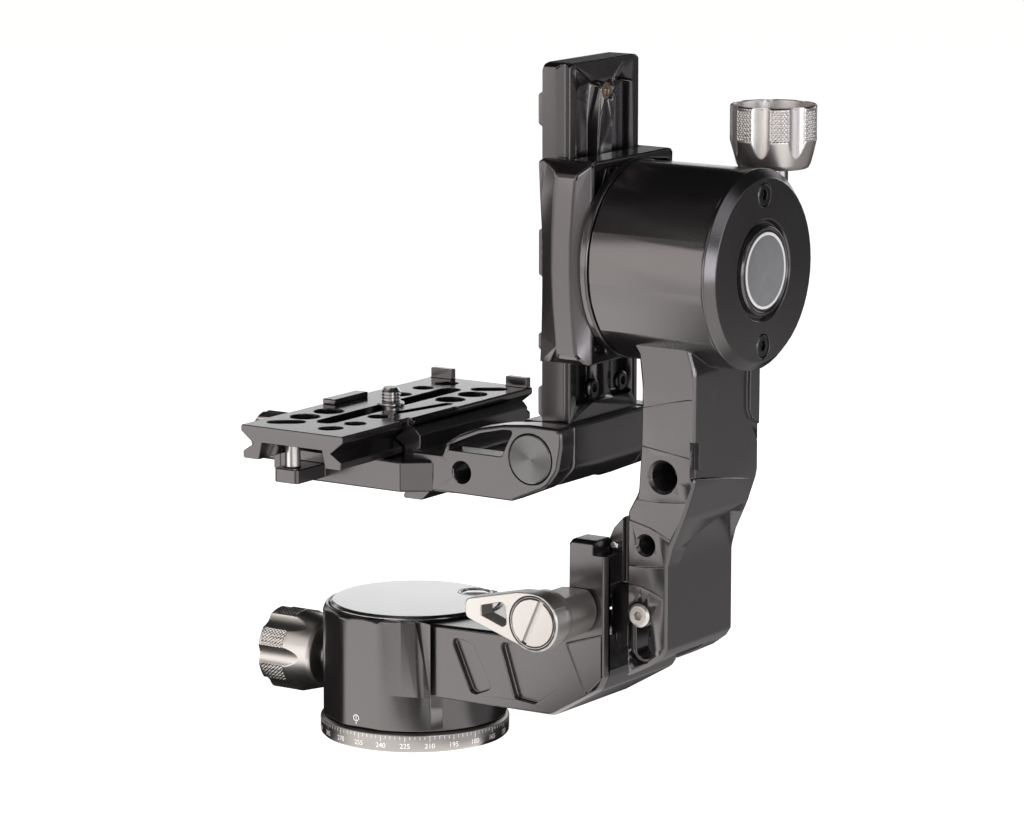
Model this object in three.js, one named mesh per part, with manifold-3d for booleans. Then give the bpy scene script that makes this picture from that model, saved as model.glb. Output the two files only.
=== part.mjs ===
// Gimbal tripod head, jointed. Millimetres, +Z up.
// X runs along the tilt shaft and out through its end cap, Y runs along the camera plate,
// and the origin lies on the turning axis at the underside of the base.
import * as THREE from 'three';
import * as BufferGeometryUtils from 'three/addons/utils/BufferGeometryUtils.js';
import Module from 'manifold-3d';

const wasm = await Module();
wasm.setup();

// Driving sizes of the turning base
const ringRadius = 30;
const ringHeight = 6.3;
const bodyRadius = 29.2;
const bodyTop = 42;
const flatRadius = 28.6;
const armHalfWidth = 22;

// Driving sizes of the upright arm and the tilt drum
const shaftHeight = 158.7;
const drumRadius = 30.35;
const drumFlat = 29.7;
const drumInner = 84.4;
const drumOuter = 124;
const armHalf = 19.2;
const boltX = 96.5;
const boltZ = 53.4;

// Driving sizes of the height rail, the platform hinge and the camera plate
const railBottom = 109.3;
const railTop = 218.5;
const hingeX = 62.6;
const hingeZ = 99;
const plateX = -5;
const plateY = -6;
const plateTop = 105.4;
const plateLength = 103.5;
const knobY = -4;
const knobZ = 90.6;

// Finishes
const black = { color: 0x1d1d20, roughness: 0.42, metalness: 0.75 };
const darkGrey = { color: 0x333338, roughness: 0.45, metalness: 0.7 };
const silver = { color: 0xb9b5ae, roughness: 0.3, metalness: 0.95 };
const steel = { color: 0x8f8f92, roughness: 0.25, metalness: 1 };
const brass = { color: 0xa07c43, roughness: 0.35, metalness: 0.95 };
const nylon = { color: 0x2a2a2a, roughness: 0.75, metalness: 0 };
const bubble = { color: 0xb9d64a, roughness: 0.1, metalness: 0 };

const group = new THREE.Group();
group.name = 'gimbal_tripod_head';

// Corner points with an optional third value, the radius of that corner
function corners(list) {
  const points = [];
  const n = list.length;
  for (let i = 0; i < n; i += 1) {
    const [x, y, r = 0] = list[i];
    const here = new THREE.Vector2(x, y);
    if (r <= 0) {
      points.push(here);
      continue;
    }
    const before = new THREE.Vector2(list[(i + n - 1) % n][0], list[(i + n - 1) % n][1]);
    const after = new THREE.Vector2(list[(i + 1) % n][0], list[(i + 1) % n][1]);
    const a = before.sub(here).normalize();
    const b = after.sub(here).normalize();
    const half = Math.acos(THREE.MathUtils.clamp(a.dot(b), -1, 1)) / 2;
    const start = here.clone().addScaledVector(a, r / Math.tan(half));
    const end = here.clone().addScaledVector(b, r / Math.tan(half));
    const centre = here.clone().addScaledVector(a.clone().add(b).normalize(), r / Math.sin(half));
    const from = start.clone().sub(centre).angle();
    let sweep = end.clone().sub(centre).angle() - from;
    if (sweep > Math.PI) sweep -= 2 * Math.PI;
    if (sweep < -Math.PI) sweep += 2 * Math.PI;
    const steps = Math.max(2, Math.ceil(Math.abs(sweep) / 0.5));
    for (let k = 0; k <= steps; k += 1) {
      const t = from + (sweep * k) / steps;
      points.push(new THREE.Vector2(centre.x + r * Math.cos(t), centre.y + r * Math.sin(t)));
    }
  }
  return points;
}

// An outline given in either direction comes back counter-clockwise
function rightWay(points) {
  return THREE.ShapeUtils.area(points) < 0 ? points.reverse() : points;
}

// Turns a piece drawn in its own plane so that its depth runs along the named axis
function lay(geometry, axis, low, high) {
  const m = new THREE.Matrix4();
  const v = (x, y, z) => new THREE.Vector3(x, y, z);
  if (axis === 'x') m.makeBasis(v(0, 1, 0), v(0, 0, 1), v(1, 0, 0)).setPosition(low, 0, 0);
  if (axis === 'y') m.makeBasis(v(1, 0, 0), v(0, 0, 1), v(0, -1, 0)).setPosition(0, high, 0);
  if (axis === 'z') m.setPosition(0, 0, low);
  geometry.applyMatrix4(m);
  return geometry;
}

// A flat outline given thickness. Axis x takes (y, z), axis y takes (x, z), axis z takes (x, y).
function slab(axis, list, low, high) {
  const shape = new THREE.Shape(rightWay(corners(list)));
  const geometry = new THREE.ExtrudeGeometry(shape, { depth: high - low, bevelEnabled: false });
  return solid(lay(geometry, axis, low, high));
}

// The same with its edges broken by a chamfer
function plate(axis, list, low, high, edge) {
  const shape = new THREE.Shape(rightWay(corners(list)));
  const geometry = new THREE.ExtrudeGeometry(shape, {
    depth: high - low - 2 * edge,
    bevelThickness: edge,
    bevelSize: edge,
    bevelOffset: -edge,
    bevelSegments: 1,
  });
  geometry.translate(0, 0, edge);
  return solid(lay(geometry, axis, low, high));
}

function box(x0, x1, y0, y1, z0, z1) {
  return slab('z', [[x0, y0], [x1, y0], [x1, y1], [x0, y1]], z0, z1);
}

// A profile of (radius, height) turned round the named axis through (u, v)
function turned(axis, profile, u, v, steps = 40) {
  const points = profile.map(([r, h]) => new THREE.Vector2(r, h));
  let area = 0;
  points.forEach((p, i) => {
    const q = points[(i + 1) % points.length];
    area += p.x * q.y - q.x * p.y;
  });
  if (area < 0) points.reverse();
  const geometry = new THREE.LatheGeometry(points, steps);
  const m = new THREE.Matrix4();
  const w = (x, y, z) => new THREE.Vector3(x, y, z);
  if (axis === 'x') m.makeBasis(w(0, 1, 0), w(1, 0, 0), w(0, 0, -1)).setPosition(0, u, v);
  if (axis === 'y') m.makeBasis(w(1, 0, 0), w(0, 1, 0), w(0, 0, 1)).setPosition(u, 0, v);
  if (axis === 'z') m.makeBasis(w(1, 0, 0), w(0, 0, 1), w(0, -1, 0)).setPosition(u, v, 0);
  geometry.applyMatrix4(m);
  return solid(geometry);
}

function bar(axis, radius, low, high, u, v, steps = 24) {
  return turned(axis, [[0, low], [radius, low], [radius, high], [0, high]], u, v, steps);
}

function ring(axis, inner, outer, low, high, u, v, steps = 32) {
  const profile = [[inner, low], [outer, low], [outer, high], [inner, high], [inner, low]];
  return turned(axis, profile, u, v, steps);
}

function solid(geometry) {
  const bare = new THREE.BufferGeometry();
  bare.setAttribute('position', geometry.getAttribute('position').clone());
  if (geometry.index) bare.setIndex(geometry.index.clone());
  const merged = BufferGeometryUtils.mergeVertices(bare, 1e-4);
  const index = merged.index.array;
  const position = merged.getAttribute('position');
  const keep = [];
  for (let i = 0; i < index.length; i += 3) {
    const [a, b, c] = [index[i], index[i + 1], index[i + 2]];
    if (a !== b && b !== c && c !== a) keep.push(a, b, c);
  }
  const mesh = new wasm.Mesh({
    numProp: 3,
    vertProperties: new Float32Array(position.array),
    triVerts: new Uint32Array(keep),
  });
  const body = new wasm.Manifold(mesh);
  if (body.volume() < 0) throw new Error('an outline runs the wrong way round');
  return body;
}

function join(...parts) {
  return parts.reduce((sum, part) => sum.add(part));
}

function cut(body, ...tools) {
  return tools.reduce((left, tool) => left.subtract(tool), body);
}

function piece(name, body, finish) {
  const mesh = body.getMesh();
  const geometry = new THREE.BufferGeometry();
  geometry.setAttribute('position', new THREE.BufferAttribute(new Float32Array(mesh.vertProperties), 3));
  geometry.setIndex(new THREE.BufferAttribute(new Uint32Array(mesh.triVerts), 1));
  geometry.computeVertexNormals();
  const item = new THREE.Mesh(geometry, new THREE.MeshStandardMaterial(finish));
  item.name = name;
  group.add(item);
  return item;
}

function circle(radius, u, v, steps = 24) {
  const list = [];
  for (let k = 0; k < steps; k += 1) {
    const t = (2 * Math.PI * k) / steps;
    list.push([u + radius * Math.cos(t), v + radius * Math.sin(t)]);
  }
  return list;
}

function mirrorY(body) {
  return body.mirror([0, 1, 0]);
}

// Base ring with the scale, its threaded insert and the spindle it carries
const ringBlank = turned('z', [[9.1, 0], [28.6, 0], [ringRadius, 1], [ringRadius, 5.5],
  [29.3, ringHeight], [9.1, ringHeight], [9.1, 0]], 0, 0, 48);
const ringScrews = [30, 150, 270].map((deg) => {
  const t = THREE.MathUtils.degToRad(deg);
  return bar('z', 3.2, -1, 3, 20 * Math.cos(t), 20 * Math.sin(t), 20);
});
piece('degree_ring', cut(ringBlank, ...ringScrews), silver);
piece('thread_insert', turned('z', [[4.05, 0.4], [9, 0.4], [9, 5.2], [7, 5.2], [7, 14],
  [4.05, 14], [4.05, 0.4]], 0, 0, 24), steel);
piece('pan_spindle', turned('z', [[7.1, 6.4], [16, 6.4], [16, 9], [11.6, 9], [11.6, 33],
  [0, 33], [0, 14.4], [7.1, 14.4], [7.1, 6.4]], 0, 0, 24), steel);
[30, 150, 270].forEach((deg, i) => {
  const t = THREE.MathUtils.degToRad(deg);
  const [x, y] = [20 * Math.cos(t), 20 * Math.sin(t)];
  const head = bar('z', 3.1, 0.3, 2.9, x, y, 20);
  const socket = slab('z', circle(1.5, x, y, 6), 0.2, 1.7);
  piece(`ring_screw_${i + 1}`, cut(head, socket), steel);
});
piece('pan_bearing', ring('z', 16.4, 24, 6.9, 8.8, 0, 0, 24), nylon);

// Turning body with the level arm, the fork that clamps the upright and the fold lug
const facets = [];
for (let deg = 90; deg <= 270; deg += 30) {
  const t = THREE.MathUtils.degToRad(deg + 15);
  const reach = flatRadius / Math.cos(Math.PI / 12);
  if (deg < 270) facets.push([reach * Math.cos(t), reach * Math.sin(t)]);
}
const facetBlock = slab('z', [[40, flatRadius], ...facets, [40, -flatRadius]], 5, 44);
const bodyTurned = turned('z', [[0, 6.6], [bodyRadius, 6.6], [bodyRadius, bodyTop - 1.3],
  [bodyRadius - 1.3, bodyTop], [0, bodyTop]], 0, 0, 48);
const flank = slab('z', [[8, -28.5], [11, -25.9], [14, -23.7], [17.5, -22.2], [20, -armHalfWidth],
  [24, -armHalfWidth], [24, -32], [8, -32]], 18.2, 44);
const roundBody = cut(bodyTurned.intersect(facetBlock), flank, mirrorY(flank));
const levelArm = plate('y', [[0, 18.2], [66.4, 18.2, 4], [84, 28.5, 3], [86, 33, 2], [86, 74.6, 1.2],
  [72.2, 74.6, 1.5], [72.2, 50, 6], [66, 42.4, 4], [0, 41]], -armHalfWidth, armHalfWidth, 0.8);
const pocketOne = slab('y', [[28.8, 38.9, 1.6], [37.4, 37.2, 2], [44.4, 24, 1.5], [37, 20.9, 2]], -23, -20);
const pocketTwo = slab('y', [[47.4, 39.2, 1.6], [64.6, 39.4, 1.6], [68.8, 27.6, 1.6], [60.2, 21.3, 1.6],
  [53, 22, 1.6]], -23, -21.2);
const pocketThree = slab('y', [[71.8, 42, 0.6], [84.4, 46], [84.4, 32, 2], [79, 26.6, 0.8]], -23, -21.7);
const forkGap = join(box(70, 88, -12.3, 12.3, 44, 76), box(88, 90, -12.3, 12.3, 44, 76));
const notch = box(81.4, 90, -23, -12, 70.5, 76);
const foldRelief = slab('y', [[88, 33.6], [85.6, 35.4], [81.6, 42], [81.6, 56.5], [88, 64]], -19.7, 19.7);
const lug = slab('y', [[79.8, 40], [90, 40.5], [90, 46.6], [boltX, 46.6],
  [boltX + 4.8, 48.6], [boltX + 6.8, boltZ], [boltX + 4.8, 58.2], [boltX, 60.2], [79.8, 60.2, 1.5]], -9, 9);
const lugTidy = cut(lug, box(86, 91, -10, 10, 39, 46.6));
let panBody = join(roundBody, cut(levelArm, pocketOne, mirrorY(pocketOne), pocketTwo, mirrorY(pocketTwo),
  pocketThree, mirrorY(pocketThree)).intersect(box(10, 90, -30, 30, 0, 90)));
panBody = cut(panBody, forkGap, notch, foldRelief);
panBody = join(panBody, lugTidy);
panBody = cut(
  panBody,
  turned('z', [[0, 6], [24.3, 6], [24.3, 9.3], [12, 9.3], [12, 33.4], [0, 33.4]], 0, 0, 24),
  bar('z', 27.1, 39.9, 43, 0, 0, 48),
  bar('x', 3.4, -31, -10, 0, 20.6, 24),
  bar('x', 5.4, -15.6, -10, 0, 20.6, 24),
  bar('y', 3.4, -24, 24, 75.9, 53.6, 24),
  bar('y', 3, -10, 10, boltX, boltZ, 24),
);
const knobBoss = cut(bar('x', 8, -31.5, -27, 0, 20.6, 36), bar('x', 3.4, -33, -20, 0, 20.6, 24));
panBody = join(panBody, knobBoss);
piece('pan_body', panBody, black);
const levelHole = bar('z', 5.7, 39, 44, 10.9, 18.3, 24);
piece('top_disc', cut(turned('z', [[0, 40], [26.9, 40], [26.9, 42.2], [25.9, 43], [0, 43]], 0, 0, 48), levelHole), darkGrey);
piece('level_ring', turned('z', [[0, 40.1], [5.5, 40.1], [5.5, 43], [4.7, 43], [4.7, 40.9], [0, 40.9]], 10.9, 18.3, 24), black);
piece('level_vial', turned('z', [[0, 41], [4.6, 41], [4.6, 42.5], [3, 42.9], [0, 43]], 10.9, 18.3, 24), bubble);

// The seven-lobed grips, with their cup towards the free end
function grip(axis, low, high, u, v, bore) {
  const s = high > low ? 1 : -1;
  const h = Math.abs(high - low);
  const at = (t) => low + s * t;
  const profile = [[bore, at(0)], [10.2, at(0)], [11.3, at(1.4)], [13.3, at(8.6)], [13.3, at(h - 0.5)],
    [12.8, at(h)], [12.1, at(h)], [11.5, at(h - 4.5)], [bore, at(h - 4.5)], [bore, at(0)]];
  let body = turned(axis, profile, u, v, 35);
  const [a, b] = [Math.min(low, high) - 1, Math.max(low, high) + 1];
  for (let k = 0; k < 7; k += 1) {
    const t = (2 * Math.PI * (k + 0.5)) / 7;
    const far = 13.3 + 5.2 - 1.35;
    body = body.subtract(bar(axis, 5.2, a, b, u + far * Math.cos(t), v + far * Math.sin(t), 16));
  }
  return body;
}

// Pan lock: knob, its stud and the pad that it presses on the spindle
piece('pan_lock_knob', grip('x', -33.6, -52.6, 0, 20.6, 3), silver);
piece('pan_lock_stud', bar('x', 2.95, -47.5, -16, 0, 20.6, 24), steel);
piece('pan_brake_pad', bar('x', 5.2, -15.4, -12.2, 0, 20.6, 24), brass);

// Arm lock: lever with its barrel, the slotted screw in it, the through stud and its nut
const leverY = -46.7;
const leverHead = slab('y', [[51.6, 58.1, 1.6], [70.6, 62.4], [75.9, 62.6], [80, 61.6], [83.4, 58.6], [84.8, 53.6],
  [83.4, 48.6], [80, 45.6], [75.9, 44.6], [70, 46.6], [51.6, 52.6, 1.6]], leverY, -40.6);
const leverEye = slab('y', [[57.4, 56.7, 0.6], [66, 58.9, 1.6], [66.6, 50.6, 1.4], [57.4, 53.7, 0.6]], leverY - 1, -39);
const leverBarrel = turned('y', [[0, -40.7], [8.8, -40.7], [8.8, -38], [8.2, -37], [7.9, -23.4],
  [7, -22.4], [0, -22.4]], 75.9, 53.6, 32);
const barrelFlat = box(70, 90, -36.5, -22, 59.9, 64);
piece('arm_lock_lever', cut(join(leverHead, leverBarrel), leverEye, barrelFlat,
  bar('y', 3.4, -48, -22, 75.9, 53.6, 24), bar('y', 7.6, -48, -44.3, 75.9, 53.6, 32)), silver);
piece('arm_lock_screw', cut(bar('y', 7.3, -46.9, -44.4, 75.9, 53.6, 32),
  box(66, 86, -48, -46, 52.8, 54.4).translate([-75.9, 0, -53.6]).rotate([0, -66, 0]).translate([75.9, 0, 53.6])), silver);
piece('arm_lock_stud', bar('y', 3, -44, 27, 75.9, 53.6, 24), steel);
piece('arm_lock_nut', cut(slab('y', circle(6.4, 75.9, 53.6, 6), 22.2, 26.4), bar('y', 3.05, 22, 30, 75.9, 53.6, 24)), steel);

// Fold bolt through both cheeks of the upright and the lug, with its nut
const boltHead = turned('y', [[0, -20.3], [2.9, -20.3], [3.75, -19.6], [3.75, -16.5], [2.65, -16.5],
  [2.65, 17], [0, 17]], boltX, boltZ, 24);
piece('fold_bolt', cut(boltHead, slab('y', circle(1.5, boltX, boltZ, 6), -21, -18.4)), silver);
piece('fold_bolt_nut', cut(turned('y', [[0, 16.5], [3.75, 16.5], [3.75, 19.6], [2.9, 20.3], [0, 20.3]], boltX, boltZ, 24),
  bar('y', 2.7, 16, 17.3, boltX, boltZ, 24)), steel);

// Upright arm: two cheeks at the foot, a tongue for the fork, the drum at the top
const armOutline = [[91.8, 33.8], [100, 37.9], [104.3, 41.1], [106, 43.6, 2], [106, 69.5, 6], [107.4, 75],
  [111.8, 84.7], [115.4, 95, 6], [115.5, 129.4, 10], [111.9, 140], [111.9, 152], [92.1, 152],
  [92.1, 138], [95.4, 133], [96.5, 123.5, 20], [96.3, 105.8, 20], [95.4, 91, 6], [91.8, 84.6, 3]];
const armStem = plate('y', armOutline, -armHalf, armHalf, 0.9);
const tongueHead = slab('y', [[80.6, 61, 1], [86, 61], [86, 81.2], [85.1, 80.3], [82.4, 77.4], [80.6, 73.6, 2]], -12, 12);
const tongueNeck = slab('y', [[85, 61], [93, 61], [93, 86], [87.6, 82.3], [85, 80.1]], -10.4, 10.4);
const footSlot = join(box(70, 103.6, -9.3, 9.3, 20, boltZ), bar('y', 7.1, -9.3, 9.3, boltX, boltZ, 36),
  box(70, boltX, -9.3, 9.3, 50, 60.5));
const drumRound = turned('x', [[0, drumInner], [29.7, drumInner], [drumRadius, drumInner + 0.6],
  [drumRadius, drumOuter], [0, drumOuter]], 0, shaftHeight, 48);
const drumFlats = [];
for (let k = 0; k < 12; k += 1) {
  const t = THREE.MathUtils.degToRad(161 - 30 * k);
  const reach = drumFlat / Math.cos(Math.PI / 12);
  drumFlats.push([reach * Math.cos(t), shaftHeight + reach * Math.sin(t)]);
}
const drum = drumRound.intersect(slab('x', drumFlats, 80, 130));
const clampBoss = plate('x', [[12, 146], [33.5, 146, 5], [33.5, 172, 5], [12, 180]], 103, 122.5, 1);
const lift = 11;
const slotThrough = slab('y', stadium(3, boltX, boltZ - lift, boltZ), -21, 21);
const slotFace = join(slab('y', stadium(4.05, boltX, boltZ - lift, boltZ), -21, -16.2),
  slab('y', stadium(4.05, boltX, boltZ - lift, boltZ), 16.2, 21));
function stadium(r, x, z0, z1) {
  const list = [];
  for (let k = 0; k <= 12; k += 1) {
    const t = Math.PI + (Math.PI * k) / 12;
    list.push([x + r * Math.cos(t), z0 + r * Math.sin(t)]);
  }
  for (let k = 0; k <= 12; k += 1) {
    const t = (Math.PI * k) / 12;
    list.push([x + r * Math.cos(t), z1 + r * Math.sin(t)]);
  }
  return list;
}
const faceRecess = slab('x', [[-19.9, 97.5], [-14.8, 100.2], [-10.6, 105.4], [-8.4, 111.4], [-5.6, 121],
  [-5.2, 131], [13.4, 131], [12.7, 121], [12.8, 113.6], [14.6, 110.4], [20, 107.8], [20, 91.2], [0, 94.4],
  [-19.9, 97.4]], 114.2, 117);
const edgeNotch = box(113.8, 117, -20, -16.4, 97, 108.2);
const scoop = slab('x', [[-12.9, 64], [-12.7, 66.9], [-10.9, 72.8], [-7.5, 76.8], [1.3, 80.8], [12, 82.2, 1.5],
  [17.4, 81.6, 2], [17.4, 64]], 106, 118);
const threadBig = turned('y', [[0, -20], [5.9, -20], [4.4, -18], [4.4, -5], [0, -4]], 104.3, 96.6, 32);
const threadSmall = turned('y', [[0, -20], [4.1, -20], [2.9, -18.2], [2.9, -8], [0, -7]], 98.4, 75.1, 24);
let arm = join(armStem, tongueHead, tongueNeck, drum, clampBoss);
arm = cut(
  arm, footSlot, slotThrough, slotFace, faceRecess, edgeNotch, scoop, threadBig, threadSmall,
  bar('x', 16.2, 84, 125, 0, shaftHeight, 24),
  bar('z', 3.3, 146.5, 190, 114, 27.4, 24),
  bar('z', 4.9, 172.3, 190, 114, 27.4, 24),
  box(102, 126, 15, 36, 158.2, 159.5),
);
piece('upright_arm', arm, black);
piece('seat_pin', turned('y', [[0, -14.4], [1, -14.4], [1.5, -13.9], [1.5, -12.05], [0, -12.05]], 83.9, 72.6, 20), silver);

// End cap with its two screws and the raised centre button
const capScrewAt = [[0, shaftHeight + 22.7], [0, shaftHeight - 22.7]];
let cap = turned('x', [[0, 124.1], [drumRadius, 124.1], [drumRadius, 124.9], [27.6, 127.4], [15.4, 127.4],
  [14.6, 126.2], [0, 126.2]], 0, shaftHeight, 48);
capScrewAt.forEach(([y, z]) => {
  cap = cap.subtract(bar('x', 3.7, 125.4, 129, y, z, 24));
});
piece('end_cap', cap, black);
capScrewAt.forEach(([y, z], i) => {
  const head = turned('x', [[0, 125.5], [3.5, 125.5], [3.5, 127], [3.1, 127.4], [0, 127.4]], y, z, 24);
  piece(`cap_screw_${i + 1}`, cut(head, slab('x', circle(1.7, y, z, 6), 126, 128)), steel);
});
piece('cap_button', turned('x', [[0, 126.3], [13.6, 126.3], [13.6, 127.6], [13.1, 128.2], [12.6, 128.2],
  [12.4, 127.9], [0, 127.9]], 0, shaftHeight, 32), black);

// Tilt shaft with its flange, bearings, brake ring and end nut
piece('tilt_shaft', join(turned('x', [[0, 81.3], [29.9, 81.3], [drumRadius, 81.8], [drumRadius, 83.6], [29.9, 84.1],
  [0, 84.1]], 0, shaftHeight, 48), bar('x', 9, 84, 119.8, 0, shaftHeight, 24)), darkGrey);
piece('tilt_bearing_inner', ring('x', 9.3, 15.9, 86.5, 95.5, 0, shaftHeight, 24), steel);
piece('tilt_brake_ring', ring('x', 9.3, 15.9, 97, 106.5, 0, shaftHeight, 24), brass);
piece('tilt_bearing_outer', ring('x', 9.3, 15.9, 108, 115.5, 0, shaftHeight, 24), steel);
piece('shaft_nut', cut(slab('x', circle(13, 0, shaftHeight, 6), 116.2, 119.6), bar('x', 9.05, 116, 120, 0, shaftHeight, 24)), steel);

// Tilt lock knob and its stud
piece('tilt_lock_knob', grip('z', 185.7, 204.9, 114, 27.4, 3), silver);
piece('tilt_lock_stud', turned('z', [[0, 148], [2.95, 148], [2.95, 172.8], [4.5, 172.8], [4.5, 185.5], [2.95, 185.5],
  [2.95, 199.8], [0, 199.8]], 114, 27.4, 24), steel);

// Rail clamp: a waisted bracket whose jaws hold the edges of the height rail
const clampKnobX = 75.6;
const clampKnobZ = 164;
const jawInside = [[60, -20.4], [65.7, -20.4], [68, -17.75], [71.3, -19.9], [71.3, 19.9], [68, 17.75],
  [65.7, 20.4], [60, 20.4]];
const bracketSide = [[-26.2, 131, 2], [-23.5, 128.6, 2], [23.5, 128.6, 2], [26.2, 131, 2], [26.2, 186, 3],
  [22, 190, 3], [-22, 190, 3], [-26.2, 186, 3]];

// Height, back corner, and the two corners of the outermost flat: the flat wanders as the waist does
const waist = [[128.5, 63.2, 72.2, 78.3], [136, 63.4, 71, 77.2], [146, 63.7, 69.8, 76.3], [157, 63.8, 69.1, 75.8],
  [167, 63.7, 69.2, 75.9], [179, 63, 69.9, 76.7], [190.1, 62.5, 71.6, 77.8]];

// Convex outlines of equal length at rising heights, joined into one body
function lofted(levels) {
  const n = levels[0].outline.length;
  const top = (levels.length - 1) * n;
  const position = levels.flatMap(({ z, outline }) => outline.flatMap(([x, y]) => [x, y, z]));
  const index = [];
  for (let k = 0; k + 1 < levels.length; k += 1) {
    for (let i = 0; i < n; i += 1) {
      const [a, b] = [k * n + i, k * n + ((i + 1) % n)];
      index.push(a, b, b + n, a, b + n, a + n);
    }
  }
  for (let i = 1; i + 1 < n; i += 1) {
    index.push(0, i + 1, i, top, top + i, top + i + 1);
  }
  const geometry = new THREE.BufferGeometry();
  geometry.setAttribute('position', new THREE.Float32BufferAttribute(position, 3));
  geometry.setIndex(index);
  return solid(geometry);
}

const bracketBlank = lofted(waist.map(([z, back, left, right]) => ({
  z,
  outline: [[back, -21.4], [left, -26.2], [right, -26.2], [81.25, -22.3], [81.25, 22.3], [right, 26.2],
    [left, 26.2], [back, 21.4]],
})));
const cornerPocketTop = slab('x', [[-20.8, 186.6, 1], [-8, 188, 0.8], [-16, 176, 1.5], [-20.8, 171, 0.8]], 77.5, 83);
const cornerPocketLow = slab('x', [[-20.8, 141.5, 0.8], [-20.8, 131.6, 1], [-13.4, 131.2, 0.8], [-16.8, 135, 1.5]], 77.5, 83);
piece('rail_clamp', cut(
  bracketBlank.intersect(slab('x', bracketSide, 60, 82)),
  slab('z', jawInside, 120, 200),
  cornerPocketTop,
  mirrorY(cornerPocketTop),
  cornerPocketLow,
  mirrorY(cornerPocketLow),
  bar('y', 3.4, 16, 30, clampKnobX, clampKnobZ, 24),
), black);
const railKnob = turned('y', [[0, 26.6], [4.5, 26.6], [4.5, 30], [6.6, 31], [7.6, 32.2], [7.6, 41.2], [6.9, 42], [0, 42]],
  clampKnobX, clampKnobZ, 36);
piece('rail_lock_knob', cut(railKnob, bar('y', 2.9, 26, 36, clampKnobX, clampKnobZ, 24),
  ...Array.from({ length: 9 }, (_, k) => {
    const t = (2 * Math.PI * k) / 9;
    return bar('y', 1.7, 30.8, 43, clampKnobX + 8.7 * Math.cos(t), clampKnobZ + 8.7 * Math.sin(t), 12);
  })), black);
piece('rail_lock_stud', bar('y', 2.85, 17.2, 35.8, clampKnobX, clampKnobZ, 24), steel);

// Height rail with its lands, stop screws and the hinge foot at its lower end
const railSection = [[61.4, -20], [65.4, -20], [68, -17.2], [70.9, -19.3], [70.9, 19.3], [68, 17.2],
  [65.4, 20], [61.4, 20]];
const railFace = [[-20.5, railBottom], [20.5, railBottom], [20.5, railTop, 4], [-20.5, railTop, 4]];
const lands = [[199.2, 209.8], [153.6, 168.6], [131, 137], [110.6, 120.6]].map(([a, b]) => (
  slab('y', [[60.2, a + 0.8], [61.5, a], [61.5, b], [60.2, b - 0.8]], -20, 20)));
let rail = join(slab('z', railSection, railBottom, railTop), ...lands).intersect(slab('x', railFace, 59, 72));
rail = cut(
  rail,
  slab('x', [[-15.5, 114, 2], [-4, 114, 2], [-4, 196], [-2.5, 213, 2], [-15.5, 211, 2]], 67.4, 72),
  slab('x', [[4, 114, 2], [15.5, 114, 2], [15.5, 211, 2], [7, 213, 2], [4, 196]], 67.4, 72),
  bar('x', 2.9, 68.6, 72, 1.4, 208.7, 24),
);
piece('height_rail', rail, black);
piece('top_stop_screw', cut(bar('x', 2.7, 68.65, 70.6, 1.4, 208.7, 24), slab('x', circle(1.5, 1.4, 208.7, 6), 69.6, 72)), brass);
piece('hinge_foot', cut(plate('y', [[54.4, 109.2, 1], [54.4, 95, 5], [58, 90, 4], [68, 90, 4], [73.5, 96, 4],
  [73.5, 109.2, 1]], -20.1, 20.1, 0.6), bar('y', 4.35, -22, 22, hingeX, hingeZ, 32)), black);
[-8, 8].forEach((y, i) => {
  const head = turned('x', [[0, 71], [3, 71], [3, 72.4], [2.4, 72.9], [0, 72.9]], y, 119, 24);
  piece(`rail_screw_${i + 1}`, cut(head, slab('x', circle(1.4, y, 119, 6), 71.9, 74)), steel);
});
piece('hinge_pin', turned('y', [[0, -28.3], [7.3, -28.3], [7.7, -27.9], [7.7, -25.9], [4.05, -25.9], [4.05, 28],
  [0, 28]], hingeX, hingeZ, 32), darkGrey);

// Platform: two ears on the hinge pin, the cross block and the bed of the plate clamp
const earOutline = [[19.5, 85.4], [55.6, 85.2, 3], [68.6, 90.6, 6], [72.6, 96, 6], [74, 103.8], [73.8, 109.3, 2.2],
  [62, 109.4], [52.4, 108.5], [43.6, 106.6], [36.4, 103.7], [31, 100.4, 2], [30.2, 97, 1], [19.5, 97]];
const ear = cut(
  plate('y', earOutline, -28, -20.4, 0.7),
  slab('y', [[32.4, 98.7, 0.6], [52.2, 98.7, 0.8], [53.6, 102], [56.4, 107.2, 0.8], [52.4, 107], [43.8, 105],
    [37, 102.2], [33, 100.4]], -29, -20),
  bar('y', 7.9, -30, -25.7, hingeX, hingeZ, 32),
  bar('y', 4.35, -30, -18, hingeX, hingeZ, 32),
);
const earFar = cut(mirrorY(plate('y', earOutline, -28, -20.4, 0.7)), bar('y', 4.35, 18, 30, hingeX, hingeZ, 32));
const bed = plate('z', [[-27.4, -34.5, 1], [19, -34.5, 1], [27, -28, 1], [27, 28, 1], [19, 34.5, 1], [-27.4, 34.5, 1]],
  84.9, 94.7, 0.6);
const crossBlock = plate('z', [[19.5, -28], [44, -28], [44, -22], [36, -16, 4], [36, 16, 4], [44, 22], [44, 28], [19.5, 28]],
  85.4, 97, 0.6);
const fixedJaw = slab('y', [[13.9, 94], [13.9, 97.45], [10.2, 99.8], [14.6, 103], [18.5, 103], [20, 101.4], [20, 94]],
  -25, 34.5);
const frontLip = slab('z', [[-18.6, -34], [-18.6, -49, 1.5], [-9.4, -49, 1.5], [-9.4, -34]], 86.6, 91);
const lockFoot = slab('y', [[12.8, 81.8, 0.6], [14.9, 85.4], [24.4, 85.4], [19.7, 80.9, 0.6], [13.3, 80.9, 0.6]], -24, -10);
let platform = join(ear, earFar, bed, crossBlock, fixedJaw, frontLip, lockFoot);
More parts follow.
